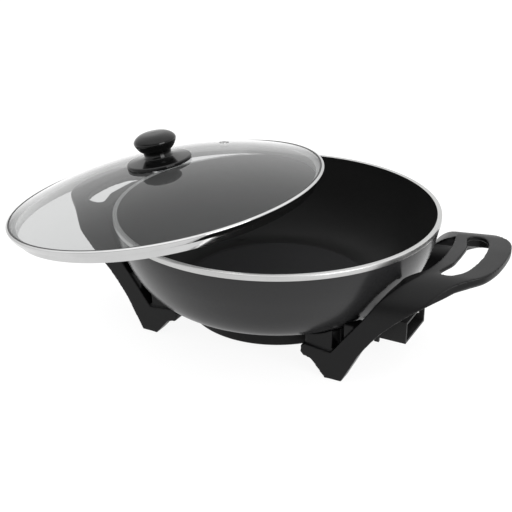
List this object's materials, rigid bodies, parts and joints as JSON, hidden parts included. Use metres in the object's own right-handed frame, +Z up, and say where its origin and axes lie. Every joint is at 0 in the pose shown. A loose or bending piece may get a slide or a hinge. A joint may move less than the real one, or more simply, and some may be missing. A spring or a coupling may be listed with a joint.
{
  "type": "electric wok skillet",
  "caption": "Electric countertop wok: round cast bowl over a heating base, carried by handle-and-leg mouldings with a probe socket, and a domed glass lid parked on the rim.",
  "frame": {"origin": "the point where the bowl's axis meets the surface that the feet stand on", "axes": "+Z up along the bowl's axis; +X out through the handle that has the probe socket under it; +Y to the back"},
  "size_m": [0.5271, 0.3731, 0.2045],
  "materials": {
    "cast_aluminium": "satin dark non-stick coating with a bare machined rim",
    "element_sheath": "heat-dulled steel sheath",
    "spring_steel": "plain rolled steel",
    "screw_steel": "zinc-plated steel",
    "plated_pin": "bright nickel plate",
    "ceramic": "unglazed steatite",
    "bare_aluminium": "as cast",
    "socket_black": "satin moulded thermoset",
    "black_enamel": "satin black heat-proof paint",
    "phenolic": "satin moulded phenolic",
    "foot_rubber": "matt rubber",
    "lid_glass": "clear tempered glass, faint grey",
    "polished_steel": "polished stainless steel",
    "knob_black": "glossy moulded phenolic",
    "silicone": "soft silicone"
  },
  "bodies": {
    "root": {"pan": "cast_aluminium", "heating_element": "element_sheath", "element_clamps": "spring_steel", "clamp_screws": "screw_steel", "terminal_pins": "plated_pin", "terminal_insulators": "ceramic", "probe_well": "bare_aluminium", "socket_shroud": "socket_black", "shroud_screws": "screw_steel", "earth_contact": "spring_steel", "base_cover": "black_enamel", "cover_screws": "screw_steel", "handle_right": "phenolic", "handle_left": "phenolic", "handle_screws": "screw_steel", "foot_pads": "foot_rubber"},
    "lid": {"lid_glass": "lid_glass", "lid_rim": "polished_steel", "vent_grommet": "polished_steel", "knob_cap": "knob_black", "knob_skirt": "knob_black", "knob_screw": "screw_steel", "knob_washer": "spring_steel", "knob_gasket": "silicone"}
  },
  "joints": [
    {"name": "lid_lift", "type": "slide", "parent": "root", "child": "lid", "axis": [0, 0, 1], "range_m": [0, 0.2]}
  ]
}
